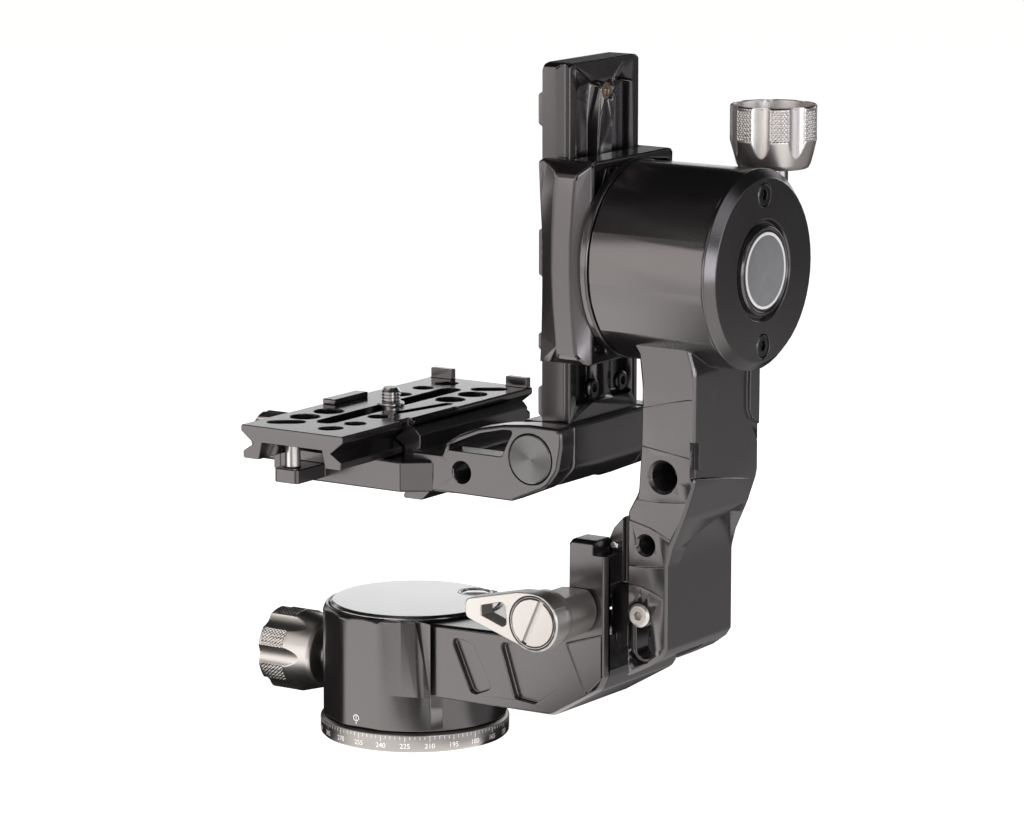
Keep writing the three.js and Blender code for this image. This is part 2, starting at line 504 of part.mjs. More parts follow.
platform = cut(
  platform,
  turned('y', [[0, -29], [4.1, -29], [3.3, -27.2], [3.3, -16.5], [0, -16.5]], 37.4, 92.2, 24),
  box(-18, 8, -30, 30, 92.6, 96),
  bar('x', 2.9, -30, -3, knobY, knobZ, 24),
  bar('x', 2.4, -30, -14, 16, 90, 20),
  bar('x', 2.4, -30, -14, -22, 90, 20),
  bar('z', 1.5, 80, 92, -14.2, -44.7, 20),
  bar('z', 2.75, 87.8, 92, -14.2, -44.7, 20),
);
piece('platform', platform, black);

// Sliding jaw with its guide pin, the clamp screw and the clamp knob
const jawOutline = [[-27.8, 86.2], [-27.8, 95], [-23.9, 95], [-23.9, 97.45], [-20.2, 99.8], [-24.6, 103], [-28.5, 103],
  [-31, 101], [-32.6, 96], [-32.6, 86.2]];
piece('sliding_jaw', cut(join(slab('y', jawOutline, -30, 30), bar('x', 2.1, -28, -16, 16, 90, 20),
  bar('x', 2.1, -28, -16, -22, 90, 20), bar('x', 5.6, -36.4, -32, knobY, knobZ, 28)),
bar('x', 2.9, -38, -25, knobY, knobZ, 24)), black);
let clampKnob = turned('x', [[0, -56], [7, -56], [7.8, -55.2], [7.8, -44.5], [6.6, -42], [4.6, -40.6], [4.6, -36.8],
  [0, -36.8]], knobY, knobZ, 32);
for (let k = 0; k < 8; k += 1) {
  const t = (2 * Math.PI * k) / 8;
  clampKnob = clampKnob.subtract(bar('x', 2, -60, -42, knobY + 9.2 * Math.cos(t), knobZ + 9.2 * Math.sin(t), 12));
}
piece('clamp_knob', cut(clampKnob, bar('x', 2.45, -46, -32, knobY, knobZ, 24)), silver);
piece('clamp_screw', bar('x', 2.4, -45.9, -4, knobY, knobZ, 24), steel);
piece('safety_pin', turned('z', [[0, 86.9], [1.2, 86.9], [1.2, 91.2], [2.4, 91.2],
  [2.4, 98.2], [2, 98.8], [0, 98.8]], -14.2, -44.7, 24), silver);

// Camera plate with its slots and end tabs, and the camera screw
const halfPlate = 19.25;
const plateSection = [[-halfPlate, 103.4], [-halfPlate, 105.1], [-halfPlate + 0.3, plateTop], [halfPlate - 0.3, plateTop],
  [halfPlate, 105.1], [halfPlate, 103.4], [14.6, 99.8], [18.5, 97.3], [18.5, 95.4], [18.1, 95], [12.6, 95],
  [11.4, 100.4], [-11.4, 100.4], [-12.6, 95], [-18.1, 95], [-18.5, 95.4], [-18.5, 97.3], [-14.6, 99.8]];
const section = plateSection.map(([u, z]) => [plateX + u, z]).reverse();
const y0 = plateY - plateLength / 2;
const y1 = plateY + plateLength / 2;
function slot(u0, v0, u1, v1, r, low = 94) {
  const turn = Math.atan2(v1 - v0, u1 - u0);
  const list = [];
  for (let k = 0; k <= 7; k += 1) {
    const t = turn + Math.PI / 2 + (Math.PI * k) / 7;
    list.push([plateX + u0 + r * Math.cos(t), plateY + v0 + r * Math.sin(t)]);
  }
  for (let k = 0; k <= 7; k += 1) {
    const t = turn - Math.PI / 2 + (Math.PI * k) / 7;
    list.push([plateX + u1 + r * Math.cos(t), plateY + v1 + r * Math.sin(t)]);
  }
  return slab('z', list, low, 107);
}

// Each hole is open below only over the channel, so that the dovetail flanks stay whole
const channel = box(plateX - 11, plateX + 11, y0, y1, 94, 102);
function hole(u0, v0, u1, v1, r) {
  return join(slot(u0, v0, u1, v1, r, 101.2), slot(u0, v0, u1, v1, r).intersect(channel));
}
const holes = [];
[1, -1].forEach((s) => {
  holes.push(hole(-12.4 * s, -42.8 * s, -7.4 * s, -39.2 * s, 3));
  holes.push(hole(-10.6 * s, -30.5 * s, -10.5 * s, -30.5 * s, 4.8));
  holes.push(hole(-9.9 * s, -19 * s, -9.8 * s, -19 * s, 4.8));
  holes.push(hole(7.2 * s, -42.6 * s, 8.2 * s, -41.4 * s, 3.2));
  holes.push(hole(9.2 * s, -31.4 * s, 9.3 * s, -31.4 * s, 3.4));
  holes.push(hole(8.2 * s, -17.8 * s, 8.3 * s, -17.8 * s, 3.4));
});
let plateBody = slab('y', section, y0, y1);
const tabLeft = box(plateX - 18.6, plateX - 10.6, y1 - 2.6, y1, 105, 108.6);
const tabRight = box(plateX + 10.6, plateX + 18.6, y1 - 2.6, y1, 105, 108.6);
plateBody = cut(join(plateBody, tabLeft, tabRight), slot(0, -33, 0, 33, 3.5), slot(9.6, -8, 13.6, 12, 1.7), ...holes);
piece('camera_plate', plateBody, black);
piece('camera_screw', turned('z', [[0, 96.9], [7.6, 96.9], [7.6, 100], [3.1, 100], [3.1, 105.7], [4.3, 105.7],
  [4.3, 106.4], [3.15, 106.4], [3.15, 110.6], [2.5, 111.2], [0, 111.2]], plateX, plateY + 0.6, 24), silver);

export default group;
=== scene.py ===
import math

import bmesh
import bpy
from mathutils import Matrix, Vector


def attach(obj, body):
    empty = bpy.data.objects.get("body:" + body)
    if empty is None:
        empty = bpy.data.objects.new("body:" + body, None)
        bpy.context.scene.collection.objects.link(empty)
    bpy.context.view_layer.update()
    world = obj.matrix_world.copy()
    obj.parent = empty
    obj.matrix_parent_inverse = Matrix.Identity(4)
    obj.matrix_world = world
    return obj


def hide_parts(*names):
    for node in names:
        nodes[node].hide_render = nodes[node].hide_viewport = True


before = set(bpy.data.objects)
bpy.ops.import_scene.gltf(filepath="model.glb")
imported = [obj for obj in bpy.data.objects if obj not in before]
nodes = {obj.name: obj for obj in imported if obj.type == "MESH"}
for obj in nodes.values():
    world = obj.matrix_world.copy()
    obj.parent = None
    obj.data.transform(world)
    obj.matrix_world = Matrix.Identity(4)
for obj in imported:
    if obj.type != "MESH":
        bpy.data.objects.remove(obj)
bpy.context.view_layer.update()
scene = bpy.context.scene
MM = 0.001


# Camera, lights and floor
# The view is the photograph's: from the front right and a little above, through a long
# lens, on a pale seamless floor with large soft lights.
def look_at(thing, place, target):
    direction = Vector(target) - Vector(place)
    turn = direction.to_track_quat("-Z", "Y").to_matrix().to_4x4()
    thing.matrix_world = Matrix.Translation(Vector(place)) @ turn


view = bpy.data.cameras.new("view")
view.sensor_fit = "HORIZONTAL"
view.sensor_width = 36.0
view.lens = 162.43
view.clip_start = 0.05
view.clip_end = 20.0
camera = bpy.data.objects.new("camera", view)
scene.collection.objects.link(camera)
look_at(camera, (0.82312, -1.16776, 0.36599), (0.037181, 0.0, 0.107469))
scene.camera = camera


def soft_light(name, around, height, distance, width, tall, glow, colour=(1.0, 1.0, 1.0)):
    """A softbox turned to the object: its bearing in degrees, height, distance and glow."""
    lamp = bpy.data.lights.new(name, "AREA")
    lamp.shape = "RECTANGLE"
    lamp.size = width
    lamp.size_y = tall
    lamp.energy = glow * width * tall * math.pi
    lamp.color = colour
    holder = bpy.data.objects.new(name, lamp)
    scene.collection.objects.link(holder)
    bearing = math.radians(around)
    place = (0.04 + distance * math.cos(bearing), distance * math.sin(bearing), height)
    look_at(holder, place, (0.04, 0.0, 0.12))
    holder.visible_camera = False


warm = (1.0, 0.955, 0.94)
cool = (0.94, 0.935, 1.0)
soft_light("left_box", 240, 0.26, 1.3, 0.68, 0.52, 2.4, warm)
soft_light("left_side_box", 208, 0.30, 1.3, 0.70, 0.52, 1.8, warm)
soft_light("front_left_box", 270, 0.26, 1.3, 0.68, 0.52, 2.2, warm)
soft_light("front_left_high", 268, 0.86, 1.1, 0.80, 0.60, 1.4, warm)
soft_light("front_box", 300, 0.26, 1.3, 0.60, 0.52, 1.2)
soft_light("front_right_box", 330, 0.25, 1.3, 0.45, 0.50, 6.0, cool)
soft_light("right_box", 18, 0.25, 1.3, 1.0, 0.50, 2.3, cool)
soft_light("right_high", 0, 0.86, 1.1, 0.80, 0.60, 1.5, cool)
soft_light("left_high", 225, 0.80, 1.1, 0.60, 0.60, 0.5, warm)
soft_light("back_left_box", 166, 0.34, 1.3, 0.60, 0.50, 0.9, warm)
soft_light("back_box", 84, 0.34, 1.3, 0.80, 0.50, 1.5)
soft_light("back_card_low", 124, 0.125, 0.60, 0.46, 0.13, 1.5)
soft_light("back_card_high", 124, 0.222, 0.60, 0.46, 0.06, 0.8)


# The room is dark, a little less so low behind the object. What the lens sees past the floor
# is white paper.
def make_surround():
    world = bpy.data.worlds.new("surround")
    world.use_nodes = True
    ways = world.node_tree.nodes
    room = ways["Background"]
    room.inputs["Strength"].default_value = 1.0
    paper_back = ways.new("ShaderNodeBackground")
    paper_back.inputs["Color"].default_value = (1.0, 1.0, 1.0, 1.0)
    paper_back.inputs["Strength"].default_value = 1.0
    way = ways.new("ShaderNodeTexCoord")
    split = ways.new("ShaderNodeSeparateXYZ")
    rise = ways.new("ShaderNodeMapRange")
    rise.inputs["From Min"].default_value = 0.25
    rise.inputs["From Max"].default_value = 0.55
    rise.inputs["To Min"].default_value = 1.0
    rise.inputs["To Max"].default_value = 0.0
    rise.interpolation_type = "SMOOTHSTEP"
    behind = ways.new("ShaderNodeVectorMath")
    behind.operation = "DOT_PRODUCT"
    behind.inputs[1].default_value = (-0.62, 0.785, 0.0)
    facing = ways.new("ShaderNodeMapRange")
    facing.inputs["From Min"].default_value = 0.25
    facing.inputs["From Max"].default_value = 0.85
    facing.interpolation_type = "SMOOTHSTEP"
    glow = ways.new("ShaderNodeMath")
    glow.operation = "MULTIPLY"
    tint = ways.new("ShaderNodeMix")
    tint.data_type = "RGBA"
    tint.inputs["A"].default_value = (0.01, 0.01, 0.01, 1.0)
    tint.inputs["B"].default_value = (0.06, 0.06, 0.06, 1.0)
    lens = ways.new("ShaderNodeLightPath")
    either = ways.new("ShaderNodeMixShader")
    joinup = world.node_tree.links.new
    joinup(way.outputs["Generated"], split.inputs["Vector"])
    joinup(split.outputs["Z"], rise.inputs["Value"])
    joinup(way.outputs["Generated"], behind.inputs[0])
    joinup(behind.outputs["Value"], facing.inputs["Value"])
    joinup(rise.outputs["Result"], glow.inputs[0])
    joinup(facing.outputs["Result"], glow.inputs[1])
    joinup(glow.outputs[0], tint.inputs["Factor"])
    joinup(tint.outputs["Result"], room.inputs["Color"])
    joinup(lens.outputs["Is Camera Ray"], either.inputs["Fac"])
    joinup(room.outputs["Background"], either.inputs[1])
    joinup(paper_back.outputs["Background"], either.inputs[2])
    joinup(either.outputs["Shader"], ways["World Output"].inputs["Surface"])
    return world


scene.world = make_surround()
scene.view_settings.view_transform = "Standard"

floor_mesh = bpy.data.meshes.new("floor")
floor_bm = bmesh.new()
bmesh.ops.create_grid(floor_bm, x_segments=1, y_segments=1, size=6.0)
floor_bm.to_mesh(floor_mesh)
floor_bm.free()
floor = bpy.data.objects.new("floor", floor_mesh)
scene.collection.objects.link(floor)
# Painted pools of light, glowing on the paper where the lamps' light would fall: direction,
# cosines where it starts and is full, brightness near the object
painted_floor_pools = [((-0.57, -0.82, 0.0), 0.86, 0.965, 2.1), ((0.82, -0.57, 0.0), 0.62, 0.93, 1.45),
               ((0.74, 0.67, 0.0), 0.80, 0.96, 0.34)]


def floor_paper():
    """Paper that the lens sees white; to reflections and all other rays it is painted dark grey with
    painted pools of light glowing on it.
    """
    paper = bpy.data.materials.new("floor_paper")
    paper.use_nodes = True
    ways = paper.node_tree.nodes
    joinup = paper.node_tree.links.new
    shader = ways["Principled BSDF"]
    shader.inputs["Roughness"].default_value = 1.0
    shader.inputs["Specular IOR Level"].default_value = 0.0
    shader.inputs["Emission Color"].default_value = (1.0, 0.985, 0.97, 1.0)
    place = ways.new("ShaderNodeTexCoord")
    middle = ways.new("ShaderNodeVectorMath")
    middle.operation = "SUBTRACT"
    middle.inputs[1].default_value = (0.038, 0.0, 0.0)
    joinup(place.outputs["Object"], middle.inputs[0])
    way = ways.new("ShaderNodeVectorMath")
    way.operation = "NORMALIZE"
    joinup(middle.outputs["Vector"], way.inputs[0])
    total = None
    for direction, start, full, strength in painted_floor_pools:
        side = ways.new("ShaderNodeVectorMath")
        side.operation = "DOT_PRODUCT"
        side.inputs[1].default_value = direction
        wedge = ways.new("ShaderNodeMapRange")
        wedge.interpolation_type = "SMOOTHSTEP"
        wedge.inputs["From Min"].default_value = start
        wedge.inputs["From Max"].default_value = full
        wedge.inputs["To Max"].default_value = strength
        joinup(way.outputs["Vector"], side.inputs[0])
        joinup(side.outputs["Value"], wedge.inputs["Value"])
        if total is None:
            total = wedge.outputs["Result"]
            continue
        plus = ways.new("ShaderNodeMath")
        plus.operation = "ADD"
        joinup(total, plus.inputs[0])
        joinup(wedge.outputs["Result"], plus.inputs[1])
        total = plus.outputs[0]
    reach = ways.new("ShaderNodeVectorMath")
    reach.operation = "LENGTH"
    joinup(place.outputs["Object"], reach.inputs[0])
    fade = ways.new("ShaderNodeMapRange")
    fade.interpolation_type = "SMOOTHSTEP"
    fade.inputs["From Min"].default_value = 0.86
    fade.inputs["From Max"].default_value = 1.03
    fade.inputs["To Min"].default_value = 1.0
    fade.inputs["To Max"].default_value = 0.15
    joinup(reach.outputs["Value"], fade.inputs["Value"])
    # painted pools of light: the wedges' glow on the paper, fading out past about a metre
    pool = ways.new("ShaderNodeMath")
    pool.operation = "MULTIPLY"
    joinup(total, pool.inputs[0])
    joinup(fade.outputs["Result"], pool.inputs[1])
    # The lens sees the paper glow evenly white; every other ray sees only the painted pools of light
    lens = ways.new("ShaderNodeLightPath")
    choose = ways.new("ShaderNodeMix")
    choose.inputs["B"].default_value = 1.0
    joinup(lens.outputs["Is Camera Ray"], choose.inputs["Factor"])
    joinup(pool.outputs[0], choose.inputs["A"])
    joinup(choose.outputs["Result"], shader.inputs["Emission Strength"])
    # painted shade: the paper's colour is dark grey for every ray but the lens
    shade = ways.new("ShaderNodeMix")
    shade.data_type = "RGBA"
    shade.inputs["A"].default_value = (0.04, 0.04, 0.04, 1.0)
    shade.inputs["B"].default_value = (0.80, 0.80, 0.80, 1.0)
    joinup(lens.outputs["Is Camera Ray"], shade.inputs["Factor"])
    joinup(shade.outputs["Result"], shader.inputs["Base Color"])
    return paper


paper = floor_paper()
floor_mesh.materials.append(paper)


# Finishes
# Black and dark anodised aluminium, bead-blasted silver aluminium, turned steel, brass and
# plastic. The two groups give every metal its fine grain and its paler, rubbed edges.
def grain_group():
    group = bpy.data.node_groups.new("blasted_grain", "ShaderNodeTree")
    face = group.interface
    face.new_socket("Fineness", in_out="INPUT", socket_type="NodeSocketFloat")
    face.new_socket("Roughness Low", in_out="INPUT", socket_type="NodeSocketFloat")
    face.new_socket("Roughness High", in_out="INPUT", socket_type="NodeSocketFloat")
    face.new_socket("Roughness", in_out="OUTPUT", socket_type="NodeSocketFloat")
    face.new_socket("Height", in_out="OUTPUT", socket_type="NodeSocketFloat")
    face.new_socket("Cloud", in_out="OUTPUT", socket_type="NodeSocketFloat")
    ways = group.nodes
    start = ways.new("NodeGroupInput")
    end = ways.new("NodeGroupOutput")
    place = ways.new("ShaderNodeTexCoord")
    speck = ways.new("ShaderNodeTexNoise")
    speck.inputs["Detail"].default_value = 2.0
    cloud = ways.new("ShaderNodeTexNoise")
    cloud.inputs["Scale"].default_value = 42.0
    cloud.inputs["Detail"].default_value = 4.0
    spread = ways.new("ShaderNodeMapRange")
    mix = ways.new("ShaderNodeMath")
    mix.operation = "ADD"
    half = ways.new("ShaderNodeMath")
    half.operation = "MULTIPLY"
    half.inputs[1].default_value = 0.5
    joinup = group.links.new
    joinup(place.outputs["Object"], speck.inputs["Vector"])
    joinup(place.outputs["Object"], cloud.inputs["Vector"])
    joinup(start.outputs["Fineness"], speck.inputs["Scale"])
    joinup(speck.outputs["Fac"], mix.inputs[0])
    joinup(cloud.outputs["Fac"], mix.inputs[1])
    joinup(mix.outputs[0], half.inputs[0])
    joinup(half.outputs[0], spread.inputs["Value"])
    spread.inputs["From Min"].default_value = 0.3
    spread.inputs["From Max"].default_value = 0.7
    joinup(start.outputs["Roughness Low"], spread.inputs["To Min"])
    joinup(start.outputs["Roughness High"], spread.inputs["To Max"])
    joinup(spread.outputs["Result"], end.inputs["Roughness"])
    joinup(speck.outputs["Fac"], end.inputs["Height"])
    joinup(cloud.outputs["Fac"], end.inputs["Cloud"])
    return group


def edge_group():
    group = bpy.data.node_groups.new("rubbed_edges", "ShaderNodeTree")
    face = group.interface
    face.new_socket("Surface", in_out="INPUT", socket_type="NodeSocketColor")
    face.new_socket("Rubbed", in_out="INPUT", socket_type="NodeSocketColor")
    face.new_socket("Amount", in_out="INPUT", socket_type="NodeSocketFloat")
    face.new_socket("Color", in_out="OUTPUT", socket_type="NodeSocketColor")
    ways = group.nodes
    start = ways.new("NodeGroupInput")
    end = ways.new("NodeGroupOutput")
    shape = ways.new("ShaderNodeNewGeometry")
    ridge = ways.new("ShaderNodeMapRange")
    ridge.inputs["From Min"].default_value = 0.52
    ridge.inputs["From Max"].default_value = 0.62
    patch = ways.new("ShaderNodeTexNoise")
    patch.inputs["Scale"].default_value = 160.0
    place = ways.new("ShaderNodeTexCoord")
    strength = ways.new("ShaderNodeMath")
    strength.operation = "MULTIPLY"
    broken = ways.new("ShaderNodeMath")
    broken.operation = "MULTIPLY"
    blend = ways.new("ShaderNodeMix")
    blend.data_type = "RGBA"
    joinup = group.links.new
    joinup(shape.outputs["Pointiness"], ridge.inputs["Value"])
    joinup(place.outputs["Object"], patch.inputs["Vector"])
    joinup(ridge.outputs["Result"], strength.inputs[0])
    joinup(start.outputs["Amount"], strength.inputs[1])
    joinup(strength.outputs[0], broken.inputs[0])
    joinup(patch.outputs["Fac"], broken.inputs[1])
    joinup(broken.outputs[0], blend.inputs["Factor"])
    joinup(start.outputs["Surface"], blend.inputs["A"])
    joinup(start.outputs["Rubbed"], blend.inputs["B"])
    joinup(blend.outputs["Result"], end.inputs["Color"])
    return group


grain = grain_group()
edges = edge_group()


def finish(name, colour, shade, rubbed, metal, rough, fineness=2600.0, bump=0.03, wear=0.5,
           coat=0.0, specular=0.5, sheen_tint=(1.0, 1.0, 1.0)):
    material = bpy.data.materials.new(name)
    material.use_nodes = True
    ways = material.node_tree.nodes
    shader = ways["Principled BSDF"]
    shader.inputs["Metallic"].default_value = metal
    shader.inputs["Specular IOR Level"].default_value = specular
    shader.inputs["Specular Tint"].default_value = (*sheen_tint, 1.0)
    shader.inputs["Coat Weight"].default_value = coat
    shader.inputs["Coat Roughness"].default_value = 0.22
    speckle = ways.new("ShaderNodeGroup")
    speckle.node_tree = grain
    speckle.inputs["Fineness"].default_value = fineness
    speckle.inputs["Roughness Low"].default_value = rough[0]
    speckle.inputs["Roughness High"].default_value = rough[1]
    worn = ways.new("ShaderNodeGroup")
    worn.node_tree = edges
    worn.inputs["Rubbed"].default_value = (*rubbed, 1.0)
    worn.inputs["Amount"].default_value = wear
    tone = ways.new("ShaderNodeMix")
    tone.data_type = "RGBA"
    tone.inputs["A"].default_value = (*colour, 1.0)
    tone.inputs["B"].default_value = (*shade, 1.0)
    relief = ways.new("ShaderNodeBump")
    relief.inputs["Strength"].default_value = bump
    relief.inputs["Distance"].default_value = 0.0002
    joinup = material.node_tree.links.new
    joinup(speckle.outputs["Cloud"], tone.inputs["Factor"])
    joinup(tone.outputs["Result"], worn.inputs["Surface"])
    joinup(worn.outputs["Color"], shader.inputs["Base Color"])
    joinup(speckle.outputs["Roughness"], shader.inputs["Roughness"])
    joinup(speckle.outputs["Height"], relief.inputs["Height"])
    joinup(relief.outputs["Normal"], shader.inputs["Normal"])
    return material


black_anodised = finish("black_anodised", (0.0055, 0.005, 0.0051), (0.008, 0.0073, 0.0075),
                        (0.09, 0.085, 0.082), 0.0, (0.20, 0.28), bump=0.02, wear=0.35,
                        coat=0.6, specular=1.0, sheen_tint=(1.0, 0.93, 0.94))
silver_blasted = finish("silver_blasted", (0.50, 0.477, 0.455), (0.56, 0.534, 0.51),
                        (0.68, 0.652, 0.625), 1.0, (0.32, 0.40), bump=0.08)
turned_steel = finish("turned_steel", (0.46, 0.45, 0.44), (0.54, 0.53, 0.52),
                      (0.7, 0.7, 0.7), 1.0, (0.18, 0.3), bump=0.02)
dark_steel = finish("dark_steel", (0.055, 0.055, 0.058), (0.085, 0.085, 0.09),
                    (0.3, 0.3, 0.3), 1.0, (0.2, 0.34), bump=0.02)
turned_brass = finish("turned_brass", (0.50, 0.40, 0.30), (0.6, 0.5, 0.38),
                      (0.8, 0.7, 0.55), 1.0, (0.2, 0.32), bump=0.02)
slick_plastic = finish("slick_plastic", (0.02, 0.02, 0.02), (0.035, 0.035, 0.035),
                       (0.1, 0.1, 0.1), 0.0, (0.45, 0.6), bump=0.05)
white_fill = finish("white_fill", (0.75, 0.74, 0.72), (0.82, 0.81, 0.8),
                    (0.85, 0.85, 0.85), 0.0, (0.5, 0.6), bump=0.02, wear=0.0)


# Base ring
# A silver aluminium ring, turned, with a degree scale cut in its rim and filled white. It
# bolts to the foot of the spindle with three screws and sits on the tripod's top plate.
def spun(profile, axis, centre, steps=128):
    shape = bmesh.new()
    points = [shape.verts.new((r * MM, 0.0, h * MM)) for r, h in profile]
    wires = [shape.edges.new((a, b)) for a, b in zip(points, points[1:])]
    if profile[0][0] > 0 and profile[0] != profile[-1]:
        wires.append(shape.edges.new((points[-1], points[0])))
    bmesh.ops.spin(shape, geom=points + wires, cent=(0, 0, 0), axis=(0, 0, 1),
                   angle=math.tau, steps=steps, use_merge=True)
    bmesh.ops.remove_doubles(shape, verts=shape.verts, dist=2e-7)
    bmesh.ops.recalc_face_normals(shape, faces=shape.faces)
    turn = {
        "x": Matrix(((0, 0, 1, 0), (1, 0, 0, 0), (0, 1, 0, 0), (0, 0, 0, 1))),
        "y": Matrix(((0, 1, 0, 0), (0, 0, 1, 0), (1, 0, 0, 0), (0, 0, 0, 1))),
        "z": Matrix.Identity(4),
    }[axis]
    place = Matrix.Translation(Vector(centre) * MM)
    bmesh.ops.transform(shape, matrix=place @ turn, verts=shape.verts)
    return shape


def choose_edges(shape, sharp, plain):
    """Marks the edges to round: sharp ones that aren't slivers and lie in no plain box."""
    weight = shape.edges.layers.float.new("bevel_weight_edge")
    for edge in shape.edges:
        if len(edge.link_faces) != 2 or edge.calc_length() < 0.1 * MM:
            continue
        if edge.calc_face_angle(0.0) < math.radians(sharp):
            continue
        if min(face.calc_area() for face in edge.link_faces) < 0.01 * MM * MM:
            continue
        middle = (edge.verts[0].co + edge.verts[1].co) / 2
        if any(all(low[i] * MM < middle[i] < high[i] * MM for i in range(3))
               for low, high in plain):
            continue
        edge[weight] = 1.0


def make_piece(name, shape, body, material, stands_for=(), bevel=0.0, sharp=32.0,
               segments=2, plain=()):
    if bevel:
        choose_edges(shape, sharp, plain)
        bmesh.ops.triangulate(shape, faces=[face for face in shape.faces if len(face.verts) > 4])
    mesh = bpy.data.meshes.new(name)
    shape.to_mesh(mesh)
    shape.free()
    mesh.materials.append(material)
    mesh.shade_smooth()
    mesh.set_sharp_from_angle(angle=math.radians(sharp))
    piece = bpy.data.objects.new(name, mesh)
    scene.collection.objects.link(piece)
    if bevel:
        rounding = piece.modifiers.new("broken_edges", "BEVEL")
        rounding.width = bevel * MM
        rounding.segments = segments
        rounding.limit_method = "WEIGHT"
        rounding.use_clamp_overlap = False
        rounding.miter_outer = "MITER_SHARP"
        rounding.face_strength_mode = "FSTR_ALL"
    flats = piece.modifiers.new("flat_faces", "WEIGHTED_NORMAL")
    flats.mode = "FACE_AREA"
    flats.weight = 60
    flats.use_face_influence = bevel > 0.0
    flats.keep_sharp = True
    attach(piece, body)
    if stands_for:
        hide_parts(*stands_for)
    return piece


def from_cad(node, tidy=0.4):
    shape = bmesh.new()
    shape.from_mesh(nodes[node].data)
    bmesh.ops.remove_doubles(shape, verts=shape.verts, dist=2e-6)
    bmesh.ops.dissolve_limit(shape, angle_limit=math.radians(tidy), verts=shape.verts,
                             edges=shape.edges)
    return shape


ring_profile = [(9.1, 0.0), (28.7, 0.0), (29.3, 0.15), (29.85, 0.7), (30.0, 1.2), (30.0, 5.3),
                (29.85, 5.7), (29.3, 6.2), (28.9, 6.3), (9.1, 6.3)]
ring_silver = finish("ring_silver", (0.25, 0.238, 0.225), (0.29, 0.276, 0.262),
                     (0.45, 0.43, 0.41), 1.0, (0.30, 0.38), bump=0.06)
make_piece("base_ring", spun(ring_profile, "z", (0, 0, 0), 180), "base",
           ring_silver, ["degree_ring"])


def on_rim(shape, radius, around, height):
    for vert in shape.verts:
        angle = around + vert.co.x / radius
        out = radius + vert.co.z
        up = height + vert.co.y
        vert.co = (out * math.cos(angle), out * math.sin(angle), up)


def numeral(text, size, radius, around, height):
    curve = bpy.data.curves.new("numeral", "FONT")
    curve.body = text
    curve.size = size * MM
    curve.align_x = "CENTER"
    curve.align_y = "CENTER"
    curve.extrude = 0.03 * MM
    holder = bpy.data.objects.new("numeral", curve)
    scene.collection.objects.link(holder)
    bpy.context.view_layer.update()
    flat = bpy.data.meshes.new_from_object(holder.evaluated_get(
        bpy.context.evaluated_depsgraph_get()))
    shape = bmesh.new()
    shape.from_mesh(flat)
    on_rim(shape, radius * MM, around, height * MM)
    bpy.data.objects.remove(holder)
    bpy.data.curves.remove(curve)
    bpy.data.meshes.remove(flat)
    return shape


def gathered(shapes):
    whole = bmesh.new()
    for shape in shapes:
        part = bpy.data.meshes.new("part")
        shape.to_mesh(part)
        shape.free()
        whole.from_mesh(part)
        bpy.data.meshes.remove(part)
    return whole


rim_radius = 30.0
mark_top = 5.35
mark_width = 0.16
index_angle = math.radians(-91.0)
index_degrees = 255
marks = []
for step in range(120):
    around = index_angle + math.radians(3.0 * step)
    long = 1.7 if step % 5 == 0 else 1.0
    mark = bmesh.new()
    bmesh.ops.create_cube(mark, size=1.0)
    bmesh.ops.scale(mark, vec=(mark_width * MM, long * MM, 0.06 * MM), verts=mark.verts)
    on_rim(mark, rim_radius * MM, around, (mark_top - long / 2) * MM)
    marks.append(mark)
for step in range(24):
    around = index_angle + math.radians(15.0 * step)
    degrees = (index_degrees - 15 * step) % 360
    marks.append(numeral(str(degrees), 2.25, rim_radius, around, 2.2))
make_piece("scale_marks", gathered(marks), "base", white_fill)

make_piece("ring_insert", from_cad("thread_insert"), "base", turned_steel,
           ["thread_insert"], bevel=0.15)
for node, material in (("ring_screw_1", dark_steel), ("ring_screw_2", dark_steel),
                       ("ring_screw_3", dark_steel), ("pan_spindle", turned_steel),
                       ("pan_bearing", slick_plastic)):
    nodes[node].data.materials.clear()
    nodes[node].data.materials.append(material)


# Turning body and level arm
# One black anodised billet: a round body with milled flats, a level arm with lightening
# pockets and the fork that takes the upright. It turns on the spindle in the base ring.
body_shape = from_cad("pan_body")
pocket_floor = 21.2
deeper_floor = 19.8
sweep = {(11.0, 25.9): (13.5, 26.75), (14.0, 23.7): (18.0, 25.3), (17.5, 22.2): (22.5, 23.6),
         (20.0, 22.0): (26.8, 22.0)}
for vert in body_shape.verts:
    side = math.copysign(1.0, vert.co.y)
    x, y = vert.co.x / MM, abs(vert.co.y) / MM
    for (from_x, from_y), (to_x, to_y) in sweep.items():
        if abs(x - from_x) < 0.4 and abs(y - from_y) < 0.4:
            vert.co.x = to_x * MM
            vert.co.y = side * to_y * MM
    if abs(y - pocket_floor) < 0.02 and x > 45.0:
        vert.co.y = side * deeper_floor * MM
make_piece("turning_body", body_shape, "turning_body", black_anodised, ["pan_body"],
           bevel=0.4, segments=3,
           plain=[((6.0, -31, 39.4), (28.0, -19, 43.0)), ((6.0, 19, 39.4), (28.0, 31, 43.0)),
                  ((6.0, -31, 17.0), (28.0, -19, 19.6)), ((6.0, 19, 17.0), (28.0, 31, 19.6))])

index_x = -2.4
index_y = -28.63
index_ring = spun([(0.85, -0.03), (1.1, -0.03), (1.1, 0.03), (0.85, 0.03), (0.85, -0.03)],
                  "y", (index_x, index_y, 9.6), 40)
index_bar = bmesh.new()
bmesh.ops.create_cube(index_bar, size=1.0)
bmesh.ops.scale(index_bar, vec=(0.22 * MM, 0.06 * MM, 3.2 * MM), verts=index_bar.verts)
bmesh.ops.translate(index_bar, vec=Vector((index_x, index_y, 9.0)) * MM,
                    verts=index_bar.verts)
make_piece("index_mark", gathered([index_ring, index_bar]), "turning_body", white_fill)


